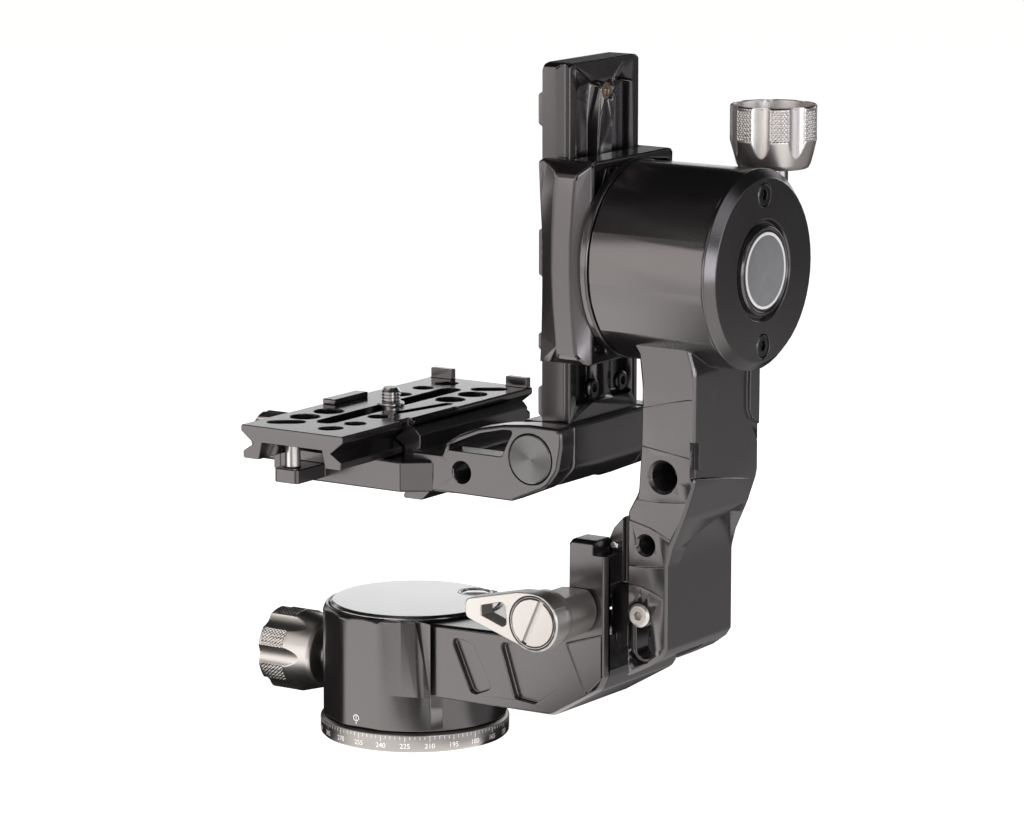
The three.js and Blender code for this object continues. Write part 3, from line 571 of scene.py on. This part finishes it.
# Top disc and level
# A polished grey cover disc pressed in the top of the body, with a small round spirit level
# in a bezel of the same grey.
disc_grey = finish("disc_grey", (0.46, 0.46, 0.465), (0.49, 0.49, 0.495), (0.5, 0.5, 0.5),
                   1.0, (0.17, 0.22), bump=0.01)
make_piece("cover_disc", from_cad("top_disc"), "turning_body", disc_grey,
           ["top_disc"], bevel=0.15)
make_piece("level_bezel", from_cad("level_ring"), "turning_body", disc_grey,
           ["level_ring"], bevel=0.2)
fluid = bpy.data.materials.new("level_fluid")
fluid.use_nodes = True
fluid_ways = fluid.node_tree.nodes
fluid_shader = fluid_ways["Principled BSDF"]
fluid_shader.inputs["Roughness"].default_value = 0.06
fluid_shader.inputs["Coat Weight"].default_value = 0.8
fluid_noise = fluid_ways.new("ShaderNodeTexNoise")
fluid_noise.inputs["Scale"].default_value = 300.0
fluid_place = fluid_ways.new("ShaderNodeTexCoord")
fluid_tone = fluid_ways.new("ShaderNodeMix")
fluid_tone.data_type = "RGBA"
fluid_tone.inputs["A"].default_value = (0.50, 0.51, 0.49, 1.0)
fluid_tone.inputs["B"].default_value = (0.60, 0.61, 0.58, 1.0)
fluid.node_tree.links.new(fluid_place.outputs["Object"], fluid_noise.inputs["Vector"])
fluid.node_tree.links.new(fluid_noise.outputs["Fac"], fluid_tone.inputs["Factor"])
fluid.node_tree.links.new(fluid_tone.outputs["Result"], fluid_shader.inputs["Base Color"])
make_piece("level_vial_glass", from_cad("level_vial"), "turning_body", fluid,
           ["level_vial"], bevel=0.1)


# Lobed lock knobs
# Silver aluminium grips with seven lobes, knurled on the lobes and cupped at the free end,
# each on a steel stud: one locks the turning base, one the tilt shaft.
lobes = 7
grip_radius = 13.3
scallop_radius = 5.2
scallop_depth = 1.35
knurl_across = 1.1
knurl_along = 1.35
knurl_depth = 0.34


def lobed_grip(axis, low, high, centre_u, centre_v):
    way = 1.0 if high > low else -1.0
    length = abs(high - low)
    outer = [(10.2, 0.0), (10.7, 0.25), (11.3, 1.4)]
    rows = 64
    for row in range(rows + 1):
        t = row / rows
        z = 1.4 + (length - 1.9) * t
        r = 11.3 + 2.0 * min(1.0, (z - 1.4) / 7.2)
        outer.append((r, z))
    outer += [(13.1, length - 0.2), (12.8, length), (12.3, length), (12.0, length - 0.4),
              (11.5, length - 4.5), (3.0, length - 4.5), (3.0, 0.0), (10.2, 0.0)]
    profile = [(r, low + way * z) for r, z in outer]
    shape = spun(profile, "z", (0, 0, 0), 364)
    for vert in shape.verts:
        r = math.hypot(vert.co.x, vert.co.y) / MM
        z = (vert.co.z / MM - low) * way
        if r < 12.05 and z > 1.5 and z > length - 5.0:
            continue
        if r < 9.0:
            continue
        angle = math.atan2(vert.co.y, vert.co.x)
        lobe = (angle * lobes / math.tau) % 1.0
        off = (lobe - 0.5) * math.tau / lobes
        far = grip_radius + scallop_radius - scallop_depth
        inside = scallop_radius ** 2 - (far * math.sin(off)) ** 2
        new_r = r
        if inside > 0:
            new_r = min(r, far * math.cos(off) - math.sqrt(inside))
        if 9.2 < z < length - 0.9 and new_r >= r - 1e-6:
            across = angle * grip_radius / knurl_across
            along = z / knurl_along
            a = abs(((across + along) % 1.0) - 0.5) * 2.0
            b = abs(((across - along) % 1.0) - 0.5) * 2.0
            new_r = r - knurl_depth * (1.0 - min(1.0, 1.5 * min(a, b)))
        scale = new_r / r
        vert.co.x *= scale
        vert.co.y *= scale
    turn = {
        "x": Matrix(((0, 0, 1, 0), (1, 0, 0, 0), (0, 1, 0, 0), (0, 0, 0, 1))),
        "z": Matrix.Identity(4),
    }[axis]
    spot = (0, centre_u, centre_v) if axis == "x" else (centre_u, centre_v, 0)
    bmesh.ops.transform(shape, matrix=Matrix.Translation(Vector(spot) * MM) @ turn,
                        verts=shape.verts)
    bmesh.ops.recalc_face_normals(shape, faces=shape.faces)
    return shape


make_piece("pan_knob", lobed_grip("x", -33.6, -52.6, 0, 20.6), "pan_lock",
           silver_blasted, ["pan_lock_knob"], sharp=40.0)
make_piece("tilt_knob", lobed_grip("z", 185.7, 204.9, 114, 27.4), "tilt_lock",
           silver_blasted, ["tilt_lock_knob"], sharp=40.0)
make_piece("pan_stud", from_cad("pan_lock_stud"), "pan_lock", turned_steel,
           ["pan_lock_stud"], bevel=0.2)
make_piece("tilt_stud", from_cad("tilt_lock_stud"), "tilt_lock", turned_steel,
           ["tilt_lock_stud"], bevel=0.2)
nodes["pan_brake_pad"].data.materials.clear()
nodes["pan_brake_pad"].data.materials.append(turned_brass)


# Fork lever
# A silver aluminium lever with a three-cornered eye, held on its stud by a wide slotted
# screw. Turning it draws the fork's cheeks together on the upright's tongue.
lever_round = spun([(7.6, -46.7), (8.7, -46.7), (8.95, -46.4), (8.95, -40.9), (7.6, -40.9),
                    (7.6, -46.7)], "y", (75.9, 0, 53.6), 96)
lever_shape = gathered([from_cad("arm_lock_lever"), lever_round])
make_piece("fork_lever", lever_shape, "arm_lock", silver_blasted,
           ["arm_lock_lever"], bevel=0.3, segments=3,
           plain=[((50.0, -41.0, 30.0), (100.0, -40.2, 75.0))])
make_piece("fork_lever_screw", from_cad("arm_lock_screw"), "arm_lock",
           silver_blasted, ["arm_lock_screw"], bevel=0.2)
make_piece("fork_stud", from_cad("arm_lock_stud"), "arm_lock", turned_steel,
           ["arm_lock_stud"], bevel=0.2)
make_piece("fork_nut", from_cad("arm_lock_nut"), "turning_body", dark_steel,
           ["arm_lock_nut"], bevel=0.2)


# Fold bolt
# A silver shoulder bolt with a hexagon socket through the foot of the upright and the lug,
# with a round nut behind. The upright rises on it along its slot and then folds down.
make_piece("fold_bolt_head", from_cad("fold_bolt"), "fold_pivot", silver_blasted,
           ["fold_bolt"], bevel=0.15)
make_piece("fold_bolt_rear_nut", from_cad("fold_bolt_nut"), "fold_pivot",
           turned_steel, ["fold_bolt_nut"], bevel=0.15)


# Upright arm with the tilt drum
# One black anodised billet: two cheeks at the foot, a tongue for the fork, a cranked arm
# with cut lines and threaded accessory holes, and the drum that holds the tilt bearings.
def carved(shape, cutters, name="carving"):
    base_mesh = bpy.data.meshes.new(name)
    shape.to_mesh(base_mesh)
    shape.free()
    base = bpy.data.objects.new(name, base_mesh)
    scene.collection.objects.link(base)
    tool_mesh = bpy.data.meshes.new("tool")
    tools = gathered(cutters)
    tools.to_mesh(tool_mesh)
    tools.free()
    tool = bpy.data.objects.new("tool", tool_mesh)
    scene.collection.objects.link(tool)
    cutting = base.modifiers.new("cut", "BOOLEAN")
    cutting.operation = "DIFFERENCE"
    cutting.solver = "EXACT"
    cutting.use_self = True
    cutting.object = tool
    bpy.context.view_layer.update()
    result_mesh = bpy.data.meshes.new_from_object(base.evaluated_get(
        bpy.context.evaluated_depsgraph_get()))
    result = bmesh.new()
    result.from_mesh(result_mesh)
    for thing in (base, tool):
        bpy.data.objects.remove(thing)
    for mesh in (base_mesh, tool_mesh, result_mesh):
        bpy.data.meshes.remove(mesh)
    return result


def groove(points, width, low, high):
    """Boxes along a line of (x, z) points, cut in from the front."""
    cuts = []
    for (x0, z0), (x1, z1) in zip(points, points[1:]):
        length = math.hypot(x1 - x0, z1 - z0)
        cut = bmesh.new()
        bmesh.ops.create_cube(cut, size=1.0)
        bmesh.ops.scale(cut, vec=((length + width) * MM, (high - low) * MM, width * MM),
                        verts=cut.verts)
        angle = math.atan2(z1 - z0, x1 - x0)
        place = Matrix.Translation(Vector(((x0 + x1) / 2, (low + high) / 2, (z0 + z1) / 2)) * MM)
        bmesh.ops.transform(cut, matrix=place @ Matrix.Rotation(-angle, 4, "Y"), verts=cut.verts)
        cuts.append(cut)
    return cuts


def thread_cut(axis, inner, outer, low, high, pitch, centre):
    profile = [(0.0, low)]
    count = int((high - low) / pitch)
    for turn in range(count + 1):
        z = low + turn * pitch
        profile.append((inner, z))
        if z + pitch / 2 < high:
            profile.append((outer, z + pitch / 2))
    profile.append((inner, high))
    profile.append((0.0, high))
    return spun(profile, axis, centre, 48)


front = -19.2
arm_lines = [
    [(95.0, 116.7), (113.2, 120.9), (114.1, 121.0)],
    [(95.0, 105.7), (114.0, 103.2)],
    [(94.0, 88.9), (103.1, 88.9), (112.2, 89.7)],
    [(90.0, 83.0), (100.2, 80.6), (106.8, 77.9)],
    [(90.0, 68.3), (98.5, 68.4), (104.7, 69.3)],
    [(90.0, 62.8), (96.8, 62.3), (100.4, 61.3), (104.6, 59.6)],
]
arm_cuts = []
for line in arm_lines:
    arm_cuts += groove(line, 0.42, front - 0.5, front + 0.32)
    arm_cuts += groove(line, 0.42, -front - 0.32, -front + 0.5)
arm_cuts.append(thread_cut("y", 4.38, 4.9, -17.4, -5.2, 1.35, (104.3, 0, 96.6)))
arm_cuts.append(thread_cut("y", 2.88, 3.3, -17.8, -8.2, 1.1, (98.4, 0, 75.1)))
arm_shape = carved(from_cad("upright_arm"), arm_cuts)
make_piece("upright", arm_shape, "upright", black_anodised, ["upright_arm"],
           bevel=0.3, plain=[
               ((98.7, -30, 91.0), (109.9, 30, 102.2)), ((94.4, -30, 71.1), (102.4, 30, 79.1)),
               ((104.0, -21, 60.0), (118.5, 21, 84.5)), ((91.5, -19.6, 35.0), (115.4, -18.6, 124.0)),
               ((91.5, 18.6, 35.0), (115.4, 19.6, 124.0))])
make_piece("seat_pin_round", from_cad("seat_pin"), "upright", turned_steel,
           ["seat_pin"], bevel=0.15)


# End cap of the drum
# A turned black cap with a wide cone round its rim, held by two sunk socket screws, with a
# raised button in the middle whose face is a plain blasted disc in a pale ring.
make_piece("drum_cap", from_cad("end_cap"), "upright", black_anodised, ["end_cap"],
           bevel=0.2)
for number in (1, 2):
    make_piece(f"cap_socket_screw_{number}", from_cad(f"cap_screw_{number}"), "upright",
               dark_steel, [f"cap_screw_{number}"], bevel=0.15)
make_piece("button_body", from_cad("cap_button"), "upright", black_anodised,
           ["cap_button"], bevel=0.12)
blasted_grey = finish("blasted_grey", (0.16, 0.16, 0.165), (0.3, 0.3, 0.3),
                      (0.5, 0.5, 0.5), 0.6, (0.4, 0.6), fineness=1500.0, bump=0.35)
tilt_centre = (0, 0, 158.7)
button_seat = 127.7
face_profile = [(0.0, button_seat), (10.6, button_seat), (10.6, 128.05), (0.0, 128.05)]
make_piece("button_face", spun(face_profile, "x", tilt_centre, 96), "upright",
           blasted_grey)
ring_face_profile = [(10.65, button_seat), (11.5, button_seat), (11.5, 128.12), (11.4, 128.18),
                     (10.75, 128.18), (10.65, 128.12), (10.65, button_seat)]
make_piece("button_ring", spun(ring_face_profile, "x", tilt_centre, 128), "upright",
           white_fill)
for node, material in (("tilt_bearing_inner", turned_steel), ("tilt_bearing_outer", turned_steel),
                       ("tilt_brake_ring", turned_brass), ("shaft_nut", dark_steel)):
    nodes[node].data.materials.clear()
    nodes[node].data.materials.append(material)


# Tilt shaft and rail clamp
# The flanged shaft turns in the drum and carries a black waisted bracket whose dovetail jaws
# hold the height rail, with a small knurled knob on the far side to lock it.
make_piece("tilt_flange", from_cad("tilt_shaft"), "tilt_head", black_anodised,
           ["tilt_shaft"], bevel=0.2)
bracket = from_cad("rail_clamp")
back_corner = 21.4
wider_corner = 23.6
for vert in bracket.verts:
    if abs(abs(vert.co.y) - back_corner * MM) < 0.15 * MM and vert.co.x < 64.5 * MM:
        vert.co.y = math.copysign(wider_corner * MM, vert.co.y)
make_piece("rail_bracket", bracket, "tilt_head", black_anodised, ["rail_clamp"],
           bevel=0.7, segments=3, sharp=18.0,
           plain=[((60.0, -28.0, 126.0), (69.0, 28.0, 131.0))])
make_piece("rail_knob", from_cad("rail_lock_knob"), "rail_lock", black_anodised,
           ["rail_lock_knob"], bevel=0.3)
make_piece("rail_knob_stud", from_cad("rail_lock_stud"), "rail_lock", turned_steel,
           ["rail_lock_stud"], bevel=0.2)


# Height rail
# A black dovetailed rail with raised lands on its back and two long pockets on its face. It
# slides up and down in the bracket; its screws are the stops.
def sloped_pocket(near, far, deep_near, deep_far, low, high_near, high_far):
    """A pocket in the rail's face, its floor tilted from one side to the other."""
    cut = bmesh.new()
    ring = []
    for y, floor_x, high in ((near, deep_near, high_near), (far, deep_far, high_far)):
        ring.append((y, floor_x, high))
    corners = []
    for y, floor_x, high in ring:
        corners.append([cut.verts.new(Vector((x, y, z)) * MM)
                        for x, z in ((floor_x, low), (73.0, low), (73.0, high), (floor_x, high))])
    cut.faces.new(corners[0])
    cut.faces.new(corners[1])
    bmesh.ops.bridge_loops(cut, edges=cut.edges)
    bmesh.ops.recalc_face_normals(cut, faces=cut.faces)
    bmesh.ops.bevel(cut, geom=[e for e in cut.edges if abs(e.verts[0].co.x - e.verts[1].co.x)
                               > 1.0 * MM], offset=1.4 * MM, segments=4, affect="EDGES",
                    profile=0.5, material=-1)
    return cut


def face_groove(points, width, low, high):
    """V-bottomed grooves along (y, z) points in a face that looks along the tilt shaft."""
    cuts = []
    for (y0, z0), (y1, z1) in zip(points, points[1:]):
        length = math.hypot(y1 - y0, z1 - z0)
        cut = bmesh.new()
        bmesh.ops.create_cube(cut, size=1.0)
        for vert in cut.verts:
            if vert.co.x < 0:
                vert.co.z *= 0.2
        bmesh.ops.scale(cut, vec=((high - low) * MM, (length + width) * MM, width * MM),
                        verts=cut.verts)
        angle = math.atan2(z1 - z0, y1 - y0)
        place = Matrix.Translation(Vector(((low + high) / 2, (y0 + y1) / 2, (z0 + z1) / 2)) * MM)
        bmesh.ops.transform(cut, matrix=place @ Matrix.Rotation(angle, 4, "X"), verts=cut.verts)
        cuts.append(cut)
    return cuts


rail_front = 71.2
pocket_foot = 114.0
rail_cuts = [sloped_pocket(-15.5, -4.6, 65.8, 67.3, pocket_foot, 210.5, 206.5),
             sloped_pocket(5.2, 15.5, 65.8, 67.3, pocket_foot, 206.5, 211.5)]
stop_screw = (1.4, 208.7)
groove_lines = [
    [(-15.6, 216.8), (-5.1, 210.8), stop_screw],
    [(9.9, 216.6), (4.5, 212.7), stop_screw],
    [stop_screw, (-2.2, 201.0), (-3.4, 192.0)],
    [stop_screw, (3.8, 200.0), (4.4, 190.0)],
]
for line in groove_lines:
    rail_cuts += face_groove(line, 0.9, rail_front - 0.85, rail_front + 0.2)
rail_shape = from_cad("height_rail")
flank_x, flank_y = 65.4, 20.0
for vert in rail_shape.verts:
    x, y = vert.co.x / MM, abs(vert.co.y) / MM
    if abs(x - flank_x) < 0.1 and abs(y - flank_y) < 0.1:
        vert.co.x = 65.6 * MM
        vert.co.y = math.copysign(18.8 * MM, vert.co.y)
make_piece("rail", carved(rail_shape, rail_cuts), "rail", black_anodised,
           ["height_rail"], bevel=0.4, segments=3,
           plain=[((64.0, -17.0, 104.0), (71.3, 17.0, 217.2))])
make_piece("rail_top_screw", from_cad("top_stop_screw"), "rail", turned_brass,
           ["top_stop_screw"], bevel=0.12)
for number in (1, 2):
    make_piece(f"rail_stop_{number}", from_cad(f"rail_screw_{number}"), "rail",
               dark_steel, [f"rail_screw_{number}"], bevel=0.15)
make_piece("hinge_block", from_cad("hinge_foot"), "rail", black_anodised,
           ["hinge_foot"], bevel=0.3)
cap_turned = finish("cap_turned", (0.012, 0.011, 0.0112), (0.016, 0.015, 0.0152),
                    (0.09, 0.085, 0.082), 0.0, (0.16, 0.22), bump=0.02, wear=0.35, coat=0.6,
                    specular=1.0)
# The hinge's axis in metres, and a turned ridge every 0.3 mm
hinge_axis = (0.0626, 0.0, 0.099)
ridge_rate = 21000.0
ways = cap_turned.node_tree.nodes
turning = ways.new("ShaderNodeTexCoord")
centred = ways.new("ShaderNodeMapping")
centred.inputs["Location"].default_value = [-value for value in hinge_axis]
centred.inputs["Scale"].default_value = (1.0, 0.0, 1.0)
reach = ways.new("ShaderNodeVectorMath")
reach.operation = "LENGTH"
rings = ways.new("ShaderNodeMath")
rings.operation = "MULTIPLY"
rings.inputs[1].default_value = ridge_rate
wave = ways.new("ShaderNodeMath")
wave.operation = "SINE"
ridges = ways.new("ShaderNodeBump")
ridges.inputs["Strength"].default_value = 0.35
ridges.inputs["Distance"].default_value = 0.00006
joinup = cap_turned.node_tree.links.new
joinup(turning.outputs["Object"], centred.inputs["Vector"])
joinup(centred.outputs["Vector"], reach.inputs[0])
joinup(reach.outputs["Value"], rings.inputs[0])
joinup(rings.outputs[0], wave.inputs[0])
joinup(wave.outputs[0], ridges.inputs["Height"])
joinup(ridges.outputs["Normal"], ways["Principled BSDF"].inputs["Normal"])
make_piece("hinge_cap", from_cad("hinge_pin"), "rail", cap_turned, ["hinge_pin"],
           bevel=0.25)


# Platform
# A black anodised billet hung on the hinge pin by two ears, with the bed of the plate clamp
# at its other end.
platform_cuts = [thread_cut("y", 3.28, 3.75, -27.1, -16.9, 1.1, (37.4, 0, 92.2))]
make_piece("platform_billet", carved(from_cad("platform"), platform_cuts), "platform_bed",
           black_anodised, ["platform"], bevel=0.3, plain=[
               ((33.0, -30, 88.0), (41.8, -15, 96.5)), ((19.0, 31.0, 93.0), (29.0, 35.0, 95.5)),
               ((29.0, -31, 95.4), (34.0, 31, 98.8))])
make_piece("clamp_jaw", from_cad("sliding_jaw"), "jaw", black_anodised,
           ["sliding_jaw"], bevel=0.3)
make_piece("clamp_knob_grip", from_cad("clamp_knob"), "plate_lock", silver_blasted,
           ["clamp_knob"], bevel=0.3)
make_piece("clamp_knob_screw", from_cad("clamp_screw"), "plate_lock", turned_steel,
           ["clamp_screw"], bevel=0.2)
make_piece("release_pin_round", from_cad("safety_pin"), "release_pin", turned_steel,
           ["safety_pin"], bevel=0.2)


# Camera plate and its screw
# A long black dovetail plate with slots and round holes, two stop tabs at its far end, a side
# stop, and a steel camera screw that slides in the middle slot.
plate_black = finish("plate_black", (0.0055, 0.005, 0.0051), (0.008, 0.0073, 0.0075),
                     (0.09, 0.085, 0.082), 0.0, (0.12, 0.16), bump=0.012, wear=0.35,
                     coat=0.6, specular=1.0, sheen_tint=(1.0, 0.93, 0.94))


def block(x0, x1, y0, y1, z0, z1):
    cube = bmesh.new()
    bmesh.ops.create_cube(cube, size=1.0)
    bmesh.ops.scale(cube, vec=Vector((x1 - x0, y1 - y0, z1 - z0)) * MM, verts=cube.verts)
    bmesh.ops.translate(cube, vec=Vector((x0 + x1, y0 + y1, z0 + z1)) * MM / 2,
                        verts=cube.verts)
    return cube


plate_cuts = [block(11.9, 16.0, -26.6, -20.0, 102.6, 107.0),
              block(13.2, 16.0, -20.5, 4.0, 104.7, 107.0)]
make_piece("dovetail_plate", carved(from_cad("camera_plate"), plate_cuts), "plate",
           plate_black, ["camera_plate"], bevel=0.25)
make_piece("plate_side_stop", block(-24.2, -19.4, -15.5, 2.5, 105.35, 107.1), "plate",
           plate_black, bevel=0.4, segments=3)
screw_profile = [(0.0, 96.9), (7.4, 96.9), (7.6, 97.1), (7.6, 99.8), (7.4, 100.0),
                 (3.1, 100.0), (3.1, 105.7), (4.2, 105.7), (4.3, 105.9), (4.3, 106.2),
                 (4.2, 106.4)]
thread_root = 2.65
thread_crest = 3.15
thread_pitch = 1.0
height = 106.4
while height < 110.2:
    screw_profile.append((thread_root, height))
    screw_profile.append((thread_crest, height + thread_pitch / 2))
    height += thread_pitch
screw_profile += [(2.6, 110.6), (2.3, 111.2), (0.0, 111.2)]
make_piece("camera_screw_thread", spun(screw_profile, "z", (-5.0, -5.4, 0), 64), "plate_screw",
           turned_steel, ["camera_screw"], sharp=25.0)
